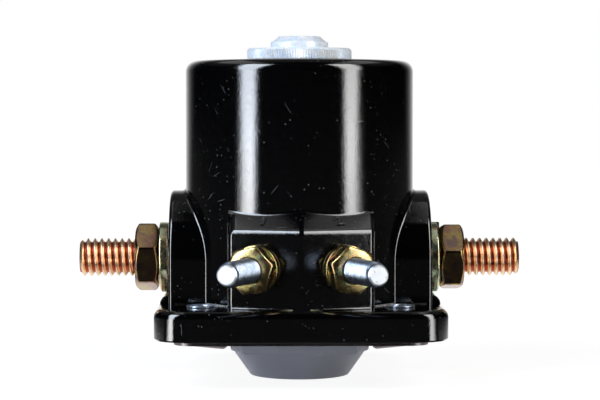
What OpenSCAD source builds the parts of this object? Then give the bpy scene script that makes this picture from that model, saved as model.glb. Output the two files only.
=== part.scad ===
// Starter relay: a moulded housing over a magnet coil, with two heavy copper studs
// in its side ears and two control studs in the V-shaped boss at its front.
// Millimetres. Z is up, the front is -Y, the main studs lie along X, and z = 0 is
// the flat bottom of the dome that the relay stands on.

/* [Coil cylinder] */
// Outer diameter of the coil cylinder
can_d = 47.4; // [46:0.2:56]
// Height of the coil cylinder above the flange
can_h = 49.5; // [47:0.5:60]
// Radius of the rounded edge round the top
can_edge_r = 2.3; // [1:0.1:2.8]
// Thickness of the cylinder's wall
can_wall = 3; // [2.4:0.1:3.6]
// Thickness of the top wall
top_wall = 3; // [2:0.1:4]

/* [Flange] */
// Thickness of the square flange
flange_t = 6.1; // [5:0.1:8]
// How far the flange reaches out past each ear
flange_side = 2.4; // [1.8:0.1:4]
// How far the flange reaches out past the ridge of the boss
flange_front = 0.5; // [0:0.1:3]
// Radius of the flange's upright corners
flange_corner_r = 6.5; // [4:0.5:9]
// Radius of the rounded edge round the flange's top
flange_edge_r = 1.5; // [0.6:0.1:2]

/* [Side ears] */
// Radius of the arch round each main stud
ear_r = 14; // [12:0.5:17]
// How far the ear's face stands out past the cylinder
ear_out = 3.1; // [2.4:0.1:5]
// Radius of the ear's rounded edge
ear_edge_r = 1.3; // [0.5:0.1:1.8]
// Width and height of the sloped foot below the ear's face
ear_foot = 1.4; // [0.6:0.1:1.8]

/* [Front boss] */
// Width of the boss
boss_w = 29.2; // [27:0.2:35]
// How far the ridge of the boss stands out past the cylinder
boss_out = 6; // [5:0.1:8]
// Height of the boss's face above the flange
boss_h = 15.6; // [14:0.1:19]
// Slope of the boss's two top faces, in degrees
boss_top_slope = 34; // [25:1:42]
// Angle of each face and each control stud from straight ahead, in degrees
splay = 20; // [16:1:24]
// Radius of the boss's upright corners
boss_corner_r = 1.7; // [0.8:0.1:2.4]
// Thickness of the boss's walls
boss_wall = 3.5; // [3:0.1:4]

/* [Main studs] */
// Thread diameter of the main studs
main_d = 7.94; // [7:0.01:9]
// Thread pitch of the main studs
main_pitch = 1.411; // [1:0.001:1.6]
// Height of the main studs' axis above the flange
main_up = 8.6; // [8.2:0.1:10]
// How far each main stud reaches out past its ear
main_out = 18.9; // [16:0.1:23]
// Width across the flats of the main nuts
main_nut_af = 12.7; // [12:0.1:14]
// Thickness of the main nuts
main_nut_t = 4.8; // [4:0.1:6]
// Outer diameter of the split lock washers
lock_d = 14.6; // [13:0.1:16]
// Thickness of the split lock washers
lock_t = 1.9; // [1.5:0.1:2.3]
// How far the two ends of a lock washer still stand apart
lock_spring = 0.6; // [0.3:0.1:0.9]
// Height of the contact head on the inner end of each main stud
head_h = 10; // [9:0.1:12]
// Width of the contact head
head_w = 12; // [10:0.1:14]

/* [Control studs] */
// Thread diameter of the control studs
small_d = 5; // [4.2:0.01:6]
// Thread pitch of the control studs
small_pitch = 0.8; // [0.5:0.05:1]
// Height of the control studs' axis above the flange
small_up = 8.1; // [7.6:0.1:8.6]
// Distance of each control stud from the boss's side
small_edge = 5.9; // [5.4:0.1:6.6]
// How far each control stud reaches out from the face
small_out = 16.8; // [14:0.1:20]
// Width across the flats of the control nuts
small_nut_af = 8.73; // [7.6:0.01:10]
// Thickness of the control nuts
small_nut_t = 3.3; // [2.5:0.1:4]
// Diameter of the control washers
small_washer_d = 9.5; // [8.6:0.1:11]
// Thickness of the control washers
small_washer_t = 1.6; // [0.8:0.1:2]
// Width across the flats of the control studs' inner heads
small_head_af = 6.8; // [6:0.1:6.8]
// Thickness of the control studs' inner heads
small_head_t = 2.4; // [2:0.1:3]

/* [Bottom] */
// Diameter of the flat that the dome stands on
dome_foot_d = 21; // [18:0.5:24]
// Diameter of the top of the dome's cone
dome_top_d = 28; // [26:0.5:29]
// Height of the dome's cone
dome_h = 5.3; // [4.6:0.1:7]
// Width of the dome's collar across opposite flats
collar_w = 28.7; // [28:0.1:32]
// Height of the collar
collar_h = 3.45; // [2.8:0.05:4.5]
// Width of the collar's front facet
facet_w = 9; // [7:0.1:10]
// Wall thickness of the dome
dome_wall = 1.6; // [1.2:0.1:2.2]
// Thickness of the sheet cover
cover_t = 0.55; // [0.5:0.05:1]
// Thickness of the gasket
gasket_t = 0.5; // [0.4:0.05:1]
// How far the cover lies inside the flange's edge
cover_inset = 3.9; // [3:0.1:4.5]
// Corner radius of the cover and of the gasket
cover_corner_r = 4; // [2:0.5:6]
// Depth of the pressed ribs at the two sides of the cover
rib_depth = 3; // [1.5:0.1:3.4]

/* [Hollow rivets] */
// Distance of each rivet's middle from the cylinder's wall, on the diagonal
rivet_gap = 4.584; // [4.3:0.001:5.4]
// Radius of the hole through each rivet
rivet_hole_r = 2.15; // [1.8:0.05:2.2]
// Wall of each rivet
rivet_wall = 0.4; // [0.3:0.05:0.5]
// How far the rolled rims reach past the rivet's shank
rivet_rim = 0.5; // [0.3:0.05:0.7]
// Height of the rolled rims
rivet_rim_t = 0.4; // [0.3:0.05:0.6]

/* [Fixed core] */
// Diameter of the washer on the top wall
cap_d = 21.74; // [18:0.1:25]
// Thickness of that washer
cap_t = 2.6; // [2:0.1:3.2]
// Diameter of the core's neck through the top wall
neck_d = 12; // [10:0.1:12.6]
// How far the neck stands out of the washer
neck_out = 1.4; // [0.8:0.1:2]
// Diameter of the staked end at its foot
stake_d = 10.4; // [8:0.1:10.6]
// Height of the staked end
stake_h = 1.1; // [0.6:0.1:2]

/* [Magnet] */
// Length of the flux cup
cup_l = 26.4; // [25:0.1:28]
// Thickness of the cup's wall
cup_wall = 1.4; // [1:0.1:2]
// Thickness of the cup's web and of the pole plate
pole_t = 2.4; // [1.8:0.1:3]
// Diameter of the plunger
plunger_d = 13; // [11.6:0.1:14]
// Length of the plunger
plunger_l = 11.6; // [10.5:0.1:13]
// Wall of the bobbin's tube
bobbin_wall = 1.4; // [1:0.1:1.8]
// Thickness of the bobbin's end flanges
bobbin_flange_t = 1.4; // [1:0.1:2]
// Depth of the winding below the bobbin's rim
winding_rim = 1.2; // [0.6:0.1:2]
// Diameter of the coil's lead wires
lead_d = 0.9; // [0.6:0.1:1.2]
// Distance of the lead wires from the bobbin's tube
lead_out = 4; // [3:0.1:5]

/* [Contacts] */
// Diameter of the contact disc
disc_d = 26; // [24:0.5:30]
// Thickness of the contact disc
disc_t = 2; // [1.4:0.1:2.4]
// Gap between the disc and the stud heads when the relay is open
contact_gap = 1.6; // [1:0.1:2]
// How far the plunger travels on after the contacts close
over_travel = 0.8; // [0.5:0.1:1]
// How far the stud heads reach in over the disc
contact_lap = 3.5; // [2.5:0.1:4.5]
// Diameter of the stem through the disc
stem_d = 4; // [3.4:0.1:4.4]
// Diameter of the stem above its shoulder
shoulder_d = 5.8; // [5.2:0.1:6.4]
// Wall of the insulating bush inside the disc
bush_wall = 2; // [1.6:0.1:2.4]
// Thickness of the sense finger and of the ground strip
strip_t = 0.5; // [0.3:0.05:0.8]
// Width of the sense finger and of the ground strip
strip_w = 4.4; // [3:0.1:5]
// Reach of the sense finger in over the disc
finger_l = 10.4; // [9:0.1:11]
// Wire diameter of the two springs
wire_d = 0.8; // [0.5:0.05:0.9]

/* [Clearances] */
// Gap between assembled pieces of one body
seat_gap = 0.05; // [0.02:0.01:0.1]
// Radial clearance of the plunger and the bush
slide_gap = 0.08; // [0.05:0.01:0.1]
// Gap at the plunger's two end stops
stop_gap = 0.02; // [0.01:0.01:0.05]
// Gap between the outer face of a nut and the first full thread of its stud
thread_start = 0.2; // [0.15:0.05:0.6]

/* [Hidden] */
$fn = 64;
curve_fn = 32;

// Colours
black_moulding = [0.02, 0.02, 0.022];
dome_black = [0.1, 0.1, 0.11];
gasket_brown = [0.32, 0.27, 0.22];
zinc = [0.75, 0.77, 0.8];
yellow_zinc = [0.72, 0.6, 0.33];
bronze_zinc = [0.45, 0.33, 0.2];
copper = [0.85, 0.45, 0.28];
steel = [0.55, 0.56, 0.58];
nylon = [0.85, 0.83, 0.74];
enamel = [0.6, 0.27, 0.12];

// Heights, from the dome's foot upwards
collar_z = dome_h;
cover_z = collar_z + collar_h;
gasket_z = cover_z + cover_t;
flange_z = gasket_z + gasket_t;
deck_z = flange_z + flange_t;
can_top = deck_z + can_h;
main_z = deck_z + main_up;
small_z = deck_z + small_up;

// Plan of the housing
can_r = can_d / 2;
bore_r = can_r - can_wall;
ear_x = can_r + ear_out;
ridge_y = can_r + boss_out;
flange_x = ear_x + flange_side;
flange_y = ridge_y + flange_front;
rivet_xy = (can_r + rivet_gap) / sqrt(2);
rivet_r = rivet_hole_r + rivet_wall;

// Magnet, hung from the top wall
bore_top = can_top - top_wall;
cup_r = bore_r - seat_gap;
cup_z = bore_top - cup_l;
cup_in_r = cup_r - cup_wall;
bobbin_z = cup_z + pole_t + seat_gap;
bobbin_top = bore_top - pole_t - seat_gap;
plunger_r = plunger_d / 2;
tube_in_r = plunger_r + slide_gap;
tube_r = tube_in_r + bobbin_wall;
bobbin_r = cup_in_r - seat_gap;
neck_r = neck_d / 2;
travel = contact_gap + over_travel;
core_z = bobbin_z + (bobbin_top - bobbin_z) * 0.4;
plunger_top = core_z - travel - stop_gap;
plunger_z = plunger_top - plunger_l;

// Studs. A stud and its nut meet at the pitch line of the thread, so the stud is drawn
// at that radius inside the nut and at its full radius elsewhere.
pitch_line = 0.325;
main_r = main_d / 2;
main_line_r = main_r - pitch_line * main_pitch;
small_r = small_d / 2;
small_line_r = small_r - pitch_line * small_pitch;
small_in = (boss_w / 2 - small_edge) / cos(splay);

// Contacts, set by the undersides of the stud heads
head_z = main_z - head_h / 2;
head_seat = bore_r + 0.3;
head_in = disc_d / 2 - contact_lap;
disc_top = head_z - contact_gap - stop_gap;
disc_z = disc_top - disc_t;
stem_r = stem_d / 2;
shoulder_r = shoulder_d / 2;
bush_r = stem_r + slide_gap + bush_wall;
bush_lip_r = bush_r + 1.8;
bush_lip_t = 1.4;
bush_z = disc_z - bush_lip_t;
bush_top = disc_top + 1;
stem_foot = dome_wall + stop_gap;
clip_t = 0.8;
clip_z = stem_foot + 2.4;
clip_r = bush_r + 1;
groove_depth = 0.4;

// Springs: both run in wire that is one turn flat at each end
wire_r = wire_d / 2;
pocket_r = wire_d * 4;
pocket_deep = 6;
press_deep = 4.4;

// Nuts and washers
nut_chamfer = 30;
lock_stack = lock_t + lock_spring;
main_tip = ear_x + main_out;
thread_clear = 0.06;
left_main_turn = 17.1;
right_main_turn = 23.7;
left_small_turn = 44;
right_small_turn = 12.5;
left_split = 78;
right_split = 188;

// Points of an arc about a centre
function arc(x, y, r, from, to, steps) = [
    for (i = [0:steps])
        let (a = from + (to - from) * i / steps)
        [x + r * cos(a), y + r * sin(a)]
];

// A wire or flat section carried along a helix. Each point of the section is a pair:
// its distance out from the mean radius and its height above the helix.
module helix(section, mean_r, rise, turns, steps) {
    count = len(section);
    last = round(turns * steps);
    points = [
        for (i = [0:last])
            let (a = 360 * i / steps, z = rise * i / last)
            for (p = section)
                [(mean_r + p[0]) * cos(a), (mean_r + p[0]) * sin(a), z + p[1]]
    ];
    sides = [
        for (i = [0:last - 1], j = [0:count - 1])
            let (a = i * count + j, b = i * count + (j + 1) % count)
            each [[a, a + count, b], [b, a + count, b + count]]
    ];
    start = [for (j = [1:count - 2]) [0, j, j + 1]];
    end = [for (j = [1:count - 2]) [last * count, last * count + j + 1, last * count + j]];
    polyhedron(points = points, faces = concat(sides, start, end));
}

// A round bar along Z with a bevel at its upper end
module bevelled_bar(r, h, bevel) {
    rotate_extrude()
        polygon([[0, 0], [r, 0], [r, h - bevel], [r - bevel, h], [0, h]]);
}

// The groove at a stud's pitch line where its nut sits, along Z
module nut_groove(r, line_r, nut_z, nut_t) {
    h = nut_t + seat_gap + thread_start;
    translate([0, 0, nut_z - seat_gap]) ring(r + 1, line_r, h);
}

// A hexagon nut along Z with both faces bevelled and a plain hole
module hex_nut(af, t, hole_r, turn) {
    corner_r = af / 2 / cos(30);
    bevel = (corner_r - af / 2) * tan(nut_chamfer);
    difference() {
        intersection() {
            rotate([0, 0, turn]) cylinder(r = corner_r, h = t, $fn = 6);
            rotate_extrude()
                polygon([
                    [0, 0], [af / 2, 0], [corner_r + 0.01, bevel],
                    [corner_r + 0.01, t - bevel], [af / 2, t], [0, t]
                ]);
        }
        translate([0, 0, -1]) cylinder(r = hole_r, h = t + 2);
    }
}

// A flat ring along Z
module ring(outer_r, inner_r, t) {
    difference() {
        cylinder(r = outer_r, h = t);
        translate([0, 0, -1]) cylinder(r = inner_r, h = t + 2);
    }
}

// The frame of the main stud on one side: Z runs outwards from the axis
module on_main_axis(side) {
    translate([0, 0, main_z]) rotate([0, 90 * side, 0]) children();
}

// The frame of the control stud on one side: Z runs outwards, Y is up,
// and Z is 0 on the face of the boss
module on_small_axis(side) {
    translate([side * small_in * cos(splay), -ridge_y + small_in * sin(splay), small_z])
        rotate([90, 0, side * splay])
            children();
}

// The four places of the hollow rivets
module at_rivets() {
    for (x = [-rivet_xy, rivet_xy], y = [-rivet_xy, rivet_xy])
        translate([x, y, 0]) children();
}

// Holes for the rivets through a layer of thickness t that starts at height z
module rivet_holes(z, t) {
    at_rivets() translate([0, 0, z - 1]) cylinder(r = rivet_r + seat_gap, h = t + 2);
}

// A rectangle about the origin with round corners, made of plain shapes
module round_rect(w, d, r) {
    square([w - 2 * r, d], center = true);
    square([w, d - 2 * r], center = true);
    for (x = [-1, 1], y = [-1, 1])
        translate([x * (w / 2 - r), y * (d / 2 - r)]) circle(r);
}

// Plan of the boss grown by a margin: a ridge ahead, two splayed faces, straight sides
module boss_plan(margin) {
    half = boss_w / 2 + margin;
    tip = ridge_y + margin / cos(splay);
    polygon([[0, -tip], [half, -tip + half * tan(splay)], [half, 0], [-half, 0],
        [-half, -tip + half * tan(splay)]]);
}

// Housing
module flange_block() {
    r = flange_corner_r;
    e = min(flange_edge_r, flange_corner_r - 0.5);
    hull()
        for (x = [-1, 1], y = [-1, 1])
            translate([x * (flange_x - r), y * (flange_y - r), flange_z])
                rotate_extrude($fn = 40)
                    polygon(concat([[0, 0], [r, 0]],
                        arc(r - e, flange_t - e, e, 0, 90, 5), [[0, flange_t]]));
}

module can_body() {
    e = can_edge_r;
    h = can_top - flange_z;
    translate([0, 0, flange_z])
        rotate_extrude() {
            square([can_r - e, h]);
            square([can_r, h - e]);
            translate([can_r - e, h - e]) circle(e);
        }
}

// One arched ear, with its rounded edge and the sloped foot in front of its face
module ear() {
    e = ear_edge_r;
    root = can_r * 0.55;
    hull() {
        translate([root, 0, main_z])
            rotate([0, 90, 0])
                rotate_extrude($fn = 72)
                    polygon(concat([[0, 0], [ear_r, 0]],
                        arc(ear_r - e, ear_x - root - e, e, 0, 90, 4), [[0, ear_x - root]]));
        translate([root, 0, deck_z - 1])
            linear_extrude(1)
                polygon(concat([[0, -ear_r]],
                    arc(ear_x - root - e, -ear_r + e, e, -90, 0, 4),
                    arc(ear_x - root - e, ear_r - e, e, 0, 90, 4), [[0, ear_r]]));
    }
    translate([ear_x, ear_r - ear_edge_r, deck_z])
        rotate([90, 0, 0])
            linear_extrude(2 * (ear_r - ear_edge_r))
                polygon([[-1, -1], [ear_foot, -1], [ear_foot, 0], [0, ear_foot], [-1, ear_foot]]);
}

// The front boss under its two sloped top faces
module front_boss() {
    rise = 2 * boss_out;
    difference() {
        translate([0, 0, deck_z - 1])
            linear_extrude(boss_h + rise + 1)
                offset(r = boss_corner_r, $fn = curve_fn) boss_plan(-boss_corner_r);
        for (side = [-1, 1])
            translate([0, -ridge_y, deck_z + boss_h])
                rotate([0, 0, side * splay])
                    rotate([boss_top_slope, 0, 0])
                        translate([side > 0 ? 0 : -2 * boss_w, -boss_w, 0])
                            cube([2 * boss_w, 4 * boss_w, 2 * boss_w]);
    }
}

module housing() {
    color(black_moulding)
        difference() {
            union() {
                flange_block();
                can_body();
                ear();
                mirror([1, 0, 0]) ear();
                front_boss();
            }
            // coil bore, open at the bottom
            translate([0, 0, flange_z - 1]) cylinder(r = bore_r, h = bore_top - flange_z + 1);
            translate([0, 0, bore_top - 1]) cylinder(r = neck_r + seat_gap, h = top_wall + 2);
            // pocket behind the faces of the boss for the control studs' heads
            translate([0, 0, flange_z - 1])
                linear_extrude(deck_z + boss_h - boss_wall - flange_z + 1)
                    boss_plan(-boss_wall);
            for (side = [-1, 1]) {
                on_main_axis(side) cylinder(r = main_r + seat_gap, h = ear_x + 1);
                on_small_axis(side)
                    translate([0, 0, -boss_wall - 1])
                        cylinder(r = small_r + seat_gap, h = boss_wall + 2);
                // square seat that keeps a main stud's head from turning
                translate([side * (head_seat + seat_gap) / 2, 0, main_z])
                    cube([head_seat + seat_gap, head_w + 2 * seat_gap, head_h + 2 * seat_gap],
                        center = true);
            }
            rivet_holes(flange_z, flange_t);
        }
}

// Bottom closure
module collar_plan(margin) {
    a = collar_w / 2 + margin;
    f = facet_w / 2;
    // the slanted facets of two neighbouring sides meet on the diagonal
    slant = tan(splay);
    d = (a + f * slant) / (1 + slant);
    polygon([
        [-f, -a], [f, -a], [d, -d], [a, -f], [a, f], [d, d],
        [f, a], [-f, a], [-d, d], [-a, f], [-a, -f], [-d, -d]
    ]);
}

module cover_outline() {
    round_rect(2 * (flange_x - cover_inset), 2 * (flange_y - cover_inset), cover_corner_r);
}

module bottom_gasket() {
    color(gasket_brown)
        translate([0, 0, gasket_z])
            difference() {
                linear_extrude(gasket_t)
                    cover_outline();
                translate([0, 0, -1]) cylinder(r = bore_r, h = gasket_t + 2);
                rivet_holes(0, gasket_t);
            }
}

// A pressed rib of the cover: it stands out most by the collar and runs out sidewards
module cover_rib() {
    round_r = 0.35 * rib_depth;
    from = collar_w / 2 + round_r + 0.6;
    to = flange_x - cover_inset - round_r - 0.6;
    half = 5.5;
    hull() {
        for (y = [-half, half]) {
            translate([from, y, cover_z - rib_depth + round_r]) sphere(round_r, $fn = curve_fn);
            translate([to, y, cover_z - 0.75 * rib_depth + round_r]) sphere(round_r, $fn = curve_fn);
        }
        translate([from - round_r, -half - round_r, cover_z + cover_t / 2])
            cube([to - from + 2 * round_r, 2 * half + 2 * round_r, cover_t / 4]);
    }
}

module bottom_cover() {
    color(bronze_zinc)
        difference() {
            union() {
                translate([0, 0, cover_z])
                    linear_extrude(cover_t)
                        cover_outline();
                cover_rib();
                mirror([1, 0, 0]) cover_rib();
            }
            translate([0, 0, -1]) linear_extrude(gasket_z + 2) collar_plan(seat_gap);
            rivet_holes(cover_z, cover_t);
        }
}

// The dome: collar with a rounded lower edge, cone, and a hollow for stem and spring
module bottom_dome() {
    foot_r = dome_foot_d / 2;
    top_r = dome_top_d / 2;
    round_r = 1.4;
    color(dome_black)
        difference() {
            union() {
                translate([0, 0, collar_z + round_r])
                    linear_extrude(collar_h + cover_t - round_r) collar_plan(0);
                hull() {
                    translate([0, 0, collar_z + round_r]) linear_extrude(0.1) collar_plan(0);
                    translate([0, 0, collar_z + 0.3 * round_r])
                        linear_extrude(0.1) collar_plan(-0.2 * round_r);
                    translate([0, 0, collar_z]) linear_extrude(0.1) collar_plan(-0.5 * round_r);
                }
                rotate_extrude()
                    polygon([[0, 0], [foot_r - 0.4, 0], [foot_r, 0.4],
                        [top_r, collar_z], [top_r, collar_z + 1], [0, collar_z + 1]]);
            }
            rotate_extrude()
                polygon([
                    [0, dome_wall], [foot_r - dome_wall, dome_wall],
                    [top_r - dome_wall, collar_z], [top_r - dome_wall, gasket_z + 1], [0, gasket_z + 1]
                ]);
        }
}

module hollow_rivets() {
    grip = flange_t + gasket_t + cover_t;
    color(zinc)
        at_rivets()
            translate([0, 0, cover_z - rivet_rim_t])
                difference() {
                    union() {
                        ring(rivet_r + rivet_rim, rivet_hole_r, rivet_rim_t);
                        cylinder(r = rivet_r, h = grip + 2 * rivet_rim_t);
                        translate([0, 0, grip + rivet_rim_t])
                            ring(rivet_r + rivet_rim, rivet_hole_r, rivet_rim_t);
                    }
                    translate([0, 0, -1]) cylinder(r = rivet_hole_r, h = grip + 2 * rivet_rim_t + 2);
                }
}

// Main studs with their nuts and split washers
module main_stud(side) {
    slope_x = head_in + 0.55 * (head_seat - head_in);
    head_top = head_z + head_h;
    color(copper) {
        on_main_axis(side)
            difference() {
                translate([0, 0, head_seat - 1]) bevelled_bar(main_r, main_tip - head_seat + 1, 0.9);
                nut_groove(main_r, main_line_r, ear_x + lock_stack, main_nut_t);
            }
        // contact head: full height at its seat, sloped towards the middle
        rotate([90, 0, 0])
            translate([0, 0, -head_w / 2])
                linear_extrude(head_w)
                    polygon([
                        [side * head_in, head_z], [side * head_seat, head_z],
                        [side * head_seat, head_top], [side * slope_x, head_top],
                        [side * head_in, head_z + 0.3 * head_h]
                    ]);
    }
}

module main_nut(side, turn) {
    color(bronze_zinc)
        on_main_axis(side)
            translate([0, 0, ear_x + lock_stack])
                hex_nut(main_nut_af, main_nut_t, main_line_r + thread_clear, side * turn);
}

// The split washer is a flat section on one turn of a helix, less the split
module lock_washer(side, split) {
    inner_r = main_r + 2 * thread_clear;
    half_w = (lock_d / 2 - inner_r) / 2;
    half_t = lock_t / 2;
    section = [[-half_w, -half_t], [half_w, -half_t], [half_w, half_t], [-half_w, half_t]];
    color(yellow_zinc)
        on_main_axis(side)
            translate([0, 0, ear_x + half_t])
                rotate([0, 0, split])
                    helix(section, inner_r + half_w, lock_spring, 0.975, 48);
}

module left_main_stud() { main_stud(-1); }
module right_main_stud() { main_stud(1); }
module left_main_nut() { main_nut(-1, left_main_turn); }
module right_main_nut() { main_nut(1, right_main_turn); }
module left_lock_washer() { lock_washer(-1, left_split); }
module right_lock_washer() { lock_washer(1, right_split); }

// Control studs, with a narrow dog point at the tip and a hexagon head inside
module control_stud(side) {
    root = -boss_wall - 0.5;
    dog_r = small_r * 0.84;
    dog_l = 0.9;
    bevel = 0.4;
    dog_z = small_out - bevel - dog_l;
    color(zinc)
        on_small_axis(side) {
            translate([0, 0, -boss_wall - small_head_t])
                rotate([0, 0, 30])
                    cylinder(r = small_head_af / 2 / cos(30), h = small_head_t, $fn = 6);
            difference() {
                rotate_extrude()
                    polygon([
                        [0, root], [small_r, root], [small_r, dog_z - bevel], [dog_r, dog_z],
                        [dog_r, dog_z + dog_l], [dog_r - bevel, small_out], [0, small_out]
                    ]);
                nut_groove(small_r, small_line_r, small_washer_t, small_nut_t);
            }
        }
}

module control_nut(side, turn) {
    color(yellow_zinc)
        on_small_axis(side)
            translate([0, 0, small_washer_t])
                hex_nut(small_nut_af, small_nut_t, small_line_r + thread_clear, turn);
}

module control_washer(side) {
    color(yellow_zinc)
        on_small_axis(side) ring(small_washer_d / 2, small_r + thread_clear, small_washer_t);
}

module left_control_stud() { control_stud(-1); }
module right_control_stud() { control_stud(1); }
module left_control_nut() { control_nut(-1, left_small_turn); }
module right_control_nut() { control_nut(1, right_small_turn); }
module left_control_washer() { control_washer(-1); }
module right_control_washer() { control_washer(1); }

// Top washer and fixed core
module top_washer() {
    bevel = 0.4;
    color(zinc)
        translate([0, 0, can_top])
            rotate_extrude()
                polygon([
                    [neck_r + seat_gap, 0], [cap_d / 2 - bevel, 0], [cap_d / 2, bevel],
                    [cap_d / 2, cap_t - bevel], [cap_d / 2 - bevel, cap_t], [neck_r + seat_gap, cap_t]
                ]);
}

module fixed_core() {
    neck_top = can_top + cap_t + neck_out;
    shoulder_z = bore_top - pole_t;
    color(zinc)
        difference() {
            union() {
                translate([0, 0, core_z]) cylinder(r = plunger_r, h = shoulder_z - core_z);
                translate([0, 0, shoulder_z - 1]) bevelled_bar(neck_r, neck_top - shoulder_z + 1, 0.3);
                translate([0, 0, neck_top - 0.5]) cylinder(r = stake_d / 2, h = 0.5);
                translate([0, 0, neck_top])
                    cylinder(r1 = stake_d / 2, r2 = stake_d / 2 - stake_h, h = stake_h);
            }
            translate([0, 0, core_z - 1]) cylinder(r = pocket_r, h = pocket_deep + 1);
        }
}

// Magnet frame and coil
module flux_cup() {
    color(steel)
        difference() {
            translate([0, 0, cup_z]) cylinder(r = cup_r, h = cup_l);
            translate([0, 0, cup_z - 1]) cylinder(r = cup_in_r, h = cup_l - pole_t + 1);
            translate([0, 0, bore_top - pole_t - 1]) cylinder(r = neck_r + seat_gap, h = pole_t + 2);
        }
}

// Places where the two leads pass the pole plate, as angles about the axis
start_lead_angle = -112;
end_lead_angle = 90;
lead_ring_r = tube_r + lead_out;

module pole_plate() {
    color(steel)
        translate([0, 0, cup_z])
            difference() {
                cylinder(r = cup_in_r - seat_gap, h = pole_t);
                translate([0, 0, -1]) cylinder(r = tube_in_r, h = pole_t + 2);
                for (a = [start_lead_angle, end_lead_angle])
                    rotate([0, 0, a])
                        translate([lead_ring_r, 0, -1]) cylinder(r = lead_d, h = pole_t + 2);
            }
}

module coil_bobbin() {
    t = bobbin_flange_t;
    color(nylon)
        difference() {
            union() {
                translate([0, 0, bobbin_z]) cylinder(r = tube_r, h = bobbin_top - bobbin_z);
                translate([0, 0, bobbin_z]) cylinder(r = bobbin_r, h = t);
                translate([0, 0, bobbin_top - t]) cylinder(r = bobbin_r, h = t);
            }
            translate([0, 0, bobbin_z - 1]) cylinder(r = tube_in_r, h = bobbin_top - bobbin_z + 2);
            for (a = [start_lead_angle, end_lead_angle])
                rotate([0, 0, a])
                    translate([lead_ring_r, 0, bobbin_z - 1]) cylinder(r = lead_d, h = t + 2);
        }
}

module coil_winding() {
    color(enamel)
        translate([0, 0, bobbin_z + bobbin_flange_t + seat_gap])
            ring(bobbin_r - winding_rim, tube_r + seat_gap,
                bobbin_top - bobbin_z - 2 * bobbin_flange_t - 2 * seat_gap);
}

// A straight length of lead wire between two points
module wire(from, to) {
    v = to - from;
    l = norm(v);
    translate(from)
        rotate([0, acos(v[2] / l), atan2(v[1], v[0])])
            cylinder(r = lead_d / 2, h = l);
}

// Start lead: down from the winding, then out to the left control stud's head.
// End lead: down through the pole plate and bent outwards onto the ground strip.
module coil_leads() {
    top = bobbin_z + bobbin_flange_t;
    head_back = boss_wall + small_head_t + seat_gap + lead_d / 2;
    stud_x = -small_in * cos(splay) + head_back * sin(splay);
    stud_y = -ridge_y + small_in * sin(splay) + head_back * cos(splay);
    start = [lead_ring_r * cos(start_lead_angle), lead_ring_r * sin(start_lead_angle), 0];
    bend = [start[0], start[1], cup_z - 2];
    stud = [stud_x, stud_y, small_z + small_head_af / 4];
    ground = [0, bore_r - strip_t - seat_gap - lead_d / 2, cup_z - 2];
    color(copper) {
        wire([start[0], start[1], top], bend);
        translate(bend) sphere(lead_d / 2, $fn = curve_fn);
        wire(bend, stud);
        wire([0, lead_ring_r, top], [0, lead_ring_r, cup_z - 2]);
        translate([0, lead_ring_r, cup_z - 2]) sphere(lead_d / 2, $fn = curve_fn);
        wire([0, lead_ring_r, cup_z - 2], ground);
    }
}

module ground_strip() {
    out = bore_r - seat_gap - 0.2;
    color(copper) {
        translate([-strip_w / 2, out - strip_t, gasket_z + seat_gap])
            cube([strip_w, strip_t, cup_z - gasket_z - 2 * seat_gap]);
    }
}

// The finger hangs from the right control stud's head and ends over the disc
module sense_finger() {
    low = head_z + 0.1;
    start = boss_wall + small_head_t + seat_gap;
    color(copper)
        on_small_axis(1)
            translate([0, 0, -start])
                rotate([0, 90, 0])
                    translate([0, 0, -strip_w / 2])
                        linear_extrude(strip_w)
                            polygon([
                                [0, small_head_af / 2], [0, low - small_z], [finger_l, low - small_z],
                                [finger_l, low - small_z + strip_t], [strip_t, low - small_z + strip_t],
                                [strip_t, small_head_af / 2]
                            ]);
}

// Moving pieces
module plunger() {
    color(steel)
        translate([0, 0, plunger_z])
            difference() {
                rotate_extrude()
                    polygon([
                        [0, 0], [plunger_r - 0.4, 0], [plunger_r, 0.4],
                        [plunger_r, plunger_l], [0, plunger_l]
                    ]);
                translate([0, 0, plunger_l - pocket_deep]) cylinder(r = pocket_r, h = pocket_deep + 1);
                translate([0, 0, -1]) cylinder(r = stem_r + seat_gap, h = press_deep + 1);
            }
}

module plunger_stem() {
    shoulder_z = bush_top + seat_gap;
    color(zinc)
        difference() {
            union() {
                translate([0, 0, stem_foot])
                    cylinder(r = stem_r, h = plunger_z + press_deep - seat_gap - stem_foot);
                translate([0, 0, shoulder_z]) cylinder(r = shoulder_r, h = plunger_z - shoulder_z);
            }
            translate([0, 0, clip_z - seat_gap])
                ring(stem_r + 1, stem_r - groove_depth, clip_t + 2 * seat_gap);
        }
}

module stem_clip() {
    color(steel) translate([0, 0, clip_z]) ring(clip_r, stem_r - groove_depth + seat_gap, clip_t);
}

module contact_disc() {
    color(copper) translate([0, 0, disc_z]) ring(disc_d / 2, bush_r + seat_gap, disc_t);
}

module disc_bush() {
    color(nylon)
        difference() {
            union() {
                translate([0, 0, bush_z]) cylinder(r = bush_r, h = bush_top - bush_z);
                translate([0, 0, bush_z]) cylinder(r = bush_lip_r, h = bush_lip_t - seat_gap);
            }
            translate([0, 0, bush_z - 1]) cylinder(r = stem_r + slide_gap, h = bush_top - bush_z + 2);
        }
}

// A compression spring between two heights
module spring(mean_r, low, high, turns) {
    section = [for (j = [0:5]) [wire_r * cos(60 * j), wire_r * sin(60 * j)]];
    color(steel)
        translate([0, 0, low + wire_r + seat_gap])
            helix(section, mean_r, high - low - wire_d - 2 * seat_gap, turns, 20);
}

module contact_spring() {
    spring(stem_r + wire_d + 0.6, clip_z + clip_t, bush_z, 4);
}

module return_spring() {
    spring(pocket_r - wire_d, plunger_top - pocket_deep, core_z + pocket_deep, 7);
}

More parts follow.
